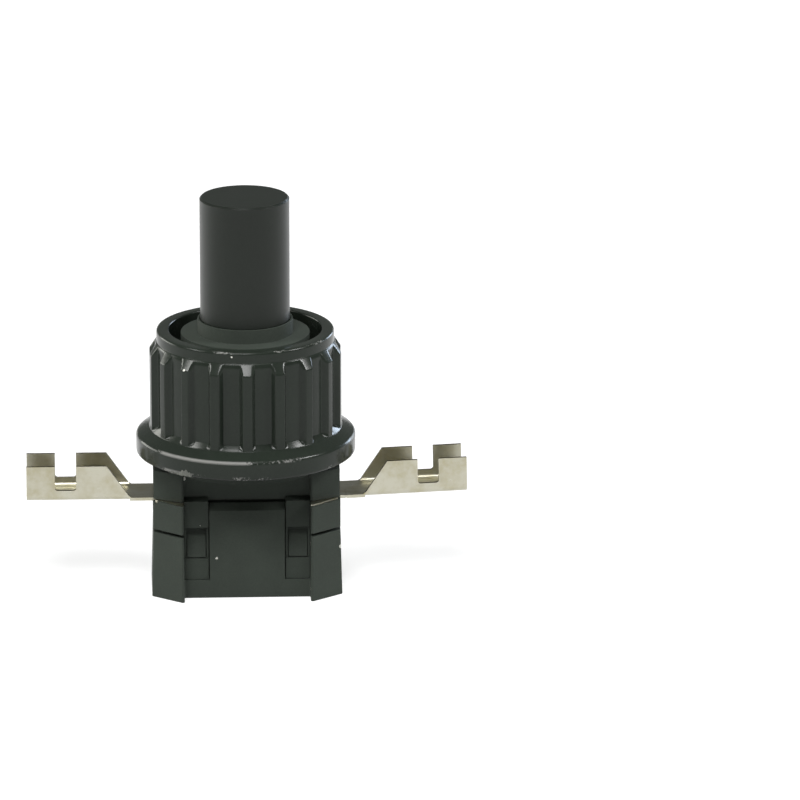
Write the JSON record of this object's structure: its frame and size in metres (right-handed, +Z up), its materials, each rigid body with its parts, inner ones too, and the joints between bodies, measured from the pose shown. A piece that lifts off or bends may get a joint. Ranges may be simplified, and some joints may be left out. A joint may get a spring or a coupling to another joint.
{
  "type": "flashlight push button switch",
  "caption": "Latching push-button switch for a flashlight: long round plunger, knurled ring nut on a threaded neck, snap-together base and two folded sheet-metal side clips.",
  "frame": {"origin": "centre of the base's underside, on the plunger's axis", "axes": "+Z up along the plunger, clips along +X and -X, front towards -Y"},
  "size_m": [0.0313, 0.0156, 0.0287],
  "materials": {
    "matte_black_plastic": "fine matt moulded, dark green-grey black",
    "neck_plastic": "moulded, half gloss",
    "gloss_black_plastic": "moulded, glossy",
    "plunger_plastic": "satin moulded",
    "inner_plastic": "natural moulded",
    "contact_brass": "stamped",
    "spring_steel": "drawn wire",
    "tinned_sheet": "satin tin-plated sheet"
  },
  "bodies": {
    "switch_body": {"base_cup": "matte_black_plastic", "contact_frame": "matte_black_plastic", "upper_housing": "neck_plastic", "terminal_left": "tinned_sheet", "terminal_right": "tinned_sheet", "return_spring": "spring_steel"},
    "collar": {"knurled_collar": "gloss_black_plastic"},
    "plunger": {"plunger": "plunger_plastic"},
    "index_rotor": {"index_rotor": "inner_plastic"},
    "contact_slider": {"contact_carrier": "inner_plastic", "contact_bridge": "contact_brass"}
  },
  "joints": [
    {"name": "plunger_press", "type": "slide", "parent": "switch_body", "child": "plunger", "axis": [0, 0, -1], "range_m": [0, 0.0024], "stiffness_N_per_m": 800, "springref_m": -0.002},
    {"name": "rotor_index", "type": "hinge", "parent": "plunger", "child": "index_rotor", "pos_m": [0, 0, 0.0129], "axis": [0, 0, 1], "range_deg": [0, 22.5]},
    {"name": "slider_press", "type": "slide", "parent": "switch_body", "child": "contact_slider", "axis": [0, 0, -1], "range_m": [0, 0.0024], "deforming": ["return_spring"]},
    {"name": "collar_turn", "type": "hinge", "parent": "switch_body", "child": "collar", "pos_m": [0, 0, 0.0146], "axis": [0, 0, 1], "continuous": true}
  ],
  "couplings": [
    {"joint": "rotor_index", "follows": "plunger_press", "rad_per_m": 163.5},
    {"joint": "slider_press", "follows": "plunger_press", "ratio": 1}
  ]
}
